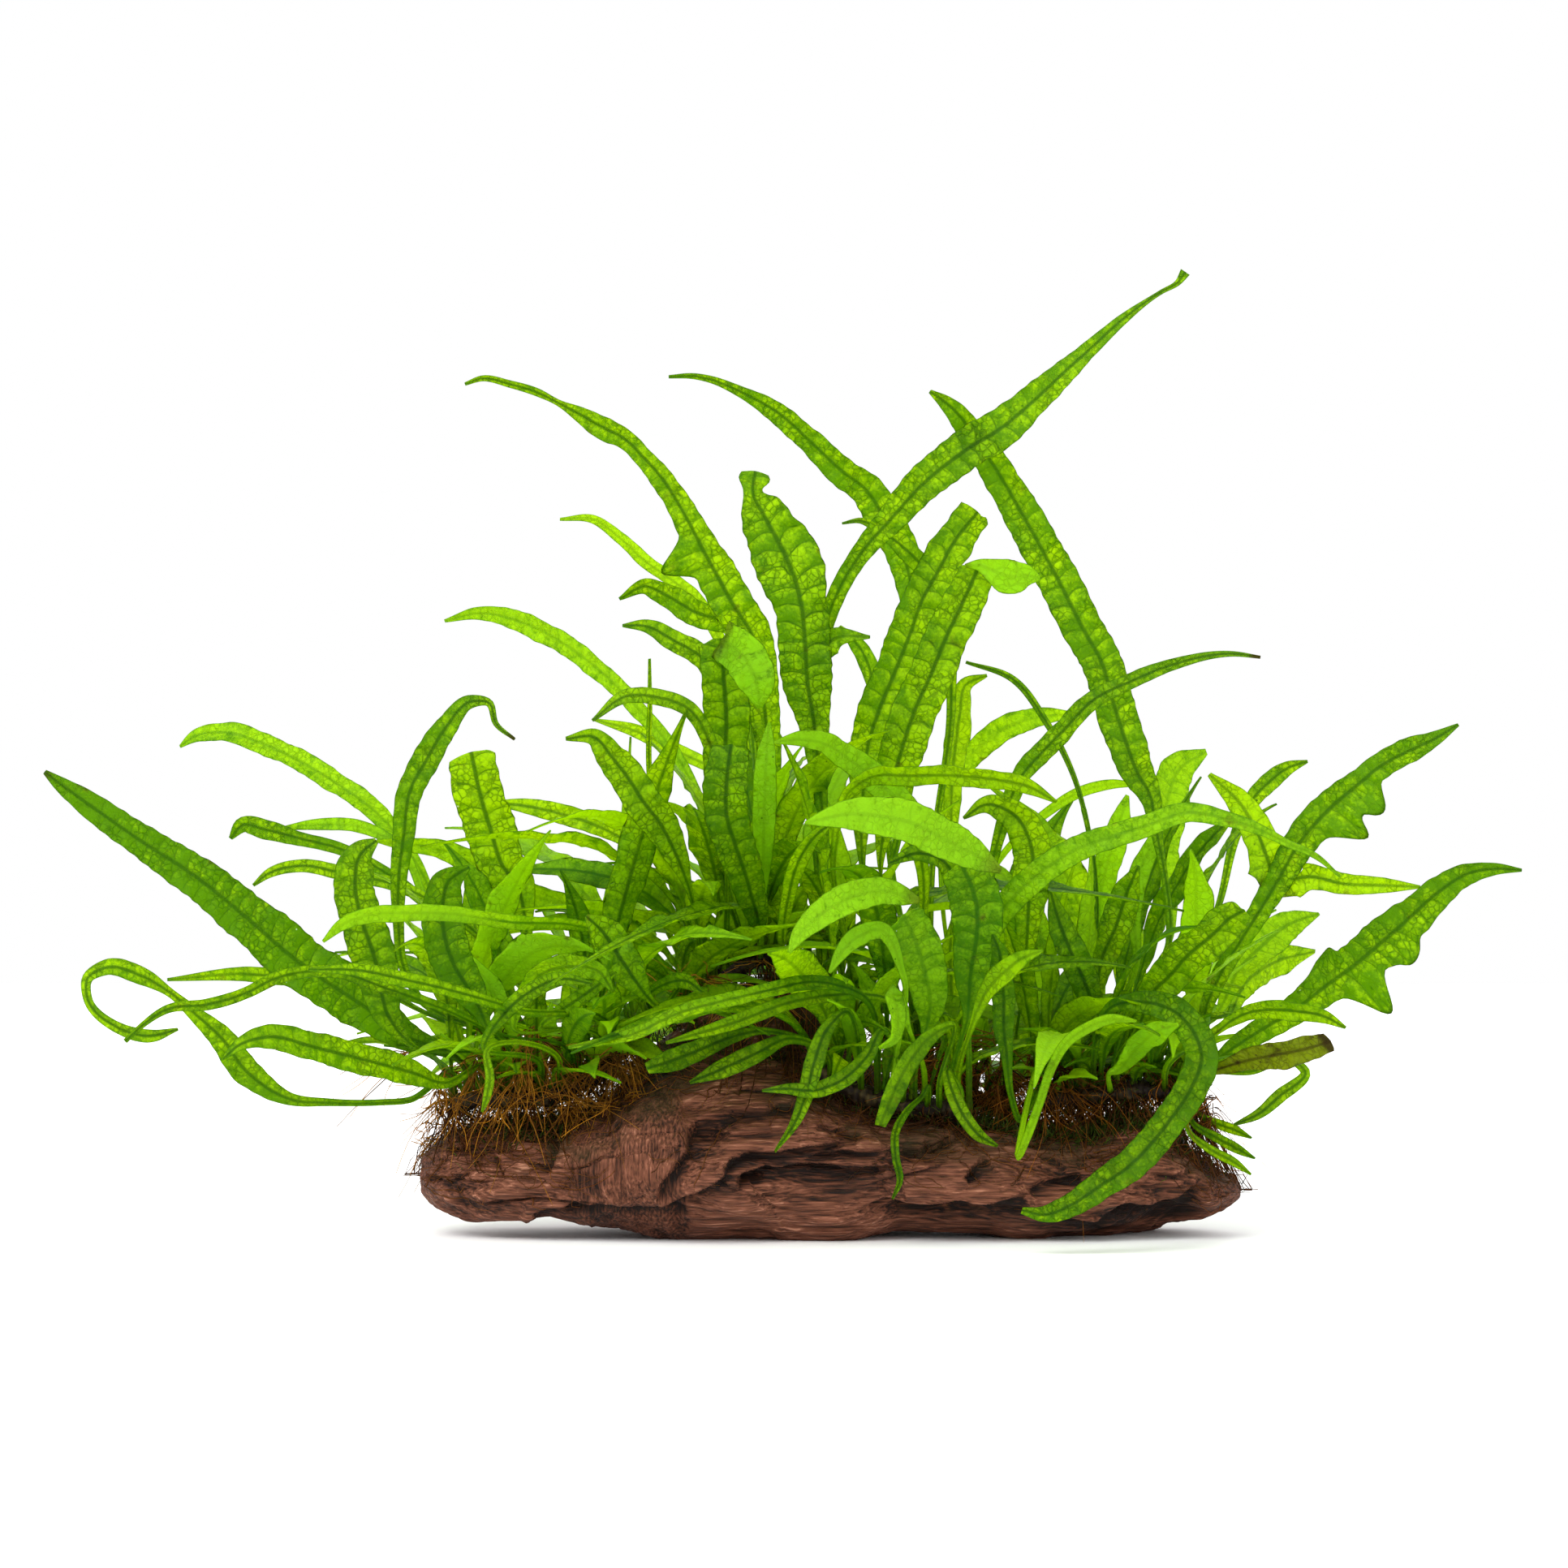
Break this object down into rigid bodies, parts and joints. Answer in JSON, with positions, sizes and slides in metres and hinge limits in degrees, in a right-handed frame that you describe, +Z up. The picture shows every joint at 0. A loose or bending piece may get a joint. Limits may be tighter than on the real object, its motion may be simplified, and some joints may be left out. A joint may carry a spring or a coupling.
{
  "type": "java fern on driftwood",
  "caption": "Aquarium fern with long, wavy and lobed green fronds, growing from creeping stems bound by roots to a reddish-brown log that stands on its flat underside.",
  "frame": {"origin": "on the driftwood's flat underside, at the middle of its length and depth", "axes": "+X along the log to the right as seen from the front, +Y to the back, +Z up"},
  "size_m": [0.3532, 0.1568, 0.2358],
  "materials": {
    "driftwood": "weathered, fibrous and damp, dark reddish brown",
    "rhizome": "dark green and brown, scaly",
    "roots": "tangled wiry orange-brown roots",
    "frond_green": "translucent leaf with a dark midrib and side veins, slightly glossy",
    "frond_pale": "paler translucent leaf seen from its lit side",
    "frond_brown": "old olive-brown leaf with dark specks"
  },
  "bodies": {
    "root": {"driftwood": "driftwood", "frond_back_arch": "frond_green", "frond_back_left": "frond_pale", "frond_back_low": "frond_green", "frond_back_pale": "frond_pale", "frond_back_right": "frond_pale", "frond_back_slim": "frond_green", "frond_crown_arch": "frond_green", "frond_crown_broad": "frond_green", "frond_crown_dark": "frond_green", "frond_crown_folded": "frond_green", "frond_crown_left": "frond_green", "frond_crown_low": "frond_green", "frond_crown_side": "frond_green", "frond_crown_tall": "frond_green", "frond_front_arc": "frond_green", "frond_front_arching": "frond_pale", "frond_front_bent": "frond_pale", "frond_front_dark": "frond_green", "frond_front_level": "frond_green", "frond_front_pale": "frond_pale", "frond_inner_arch": "frond_green", "frond_left_blunt": "frond_green", "frond_left_curved": "frond_green", "frond_left_dark": "frond_green", "frond_left_fan": "frond_green", "frond_left_far": "frond_pale", "frond_left_high": "frond_green", "frond_left_hook": "frond_green", "frond_left_lobed": "frond_green", "frond_left_long": "frond_green", "frond_left_loop": "frond_green", "frond_left_low": "frond_green", "frond_left_mid": "frond_green", "frond_left_pale": "frond_pale", "frond_left_reach": "frond_green", "frond_left_thin": "frond_green", "frond_middle_arch": "frond_green", "frond_middle_level": "frond_green", "frond_right_blunt": "frond_green", "frond_right_brown": "frond_brown", "frond_right_lobed": "frond_green", "frond_right_reach": "frond_green", "frond_right_slim": "frond_green", "frond_right_tall": "frond_green", "frond_top_blunt": "frond_green", "frond_top_drooping": "frond_green", "frond_top_folded": "frond_green", "frond_top_long": "frond_green", "frond_top_spike": "frond_green", "rhizome_crown": "rhizome", "rhizome_front_middle": "rhizome", "rhizome_left": "rhizome", "rhizome_left_back": "rhizome", "rhizome_middle_back": "rhizome", "rhizome_right": "rhizome", "rhizome_right_back": "rhizome", "root_mat_left": "roots", "root_mat_middle": "roots", "root_mat_right": "roots"}
  },
  "joints": []
}
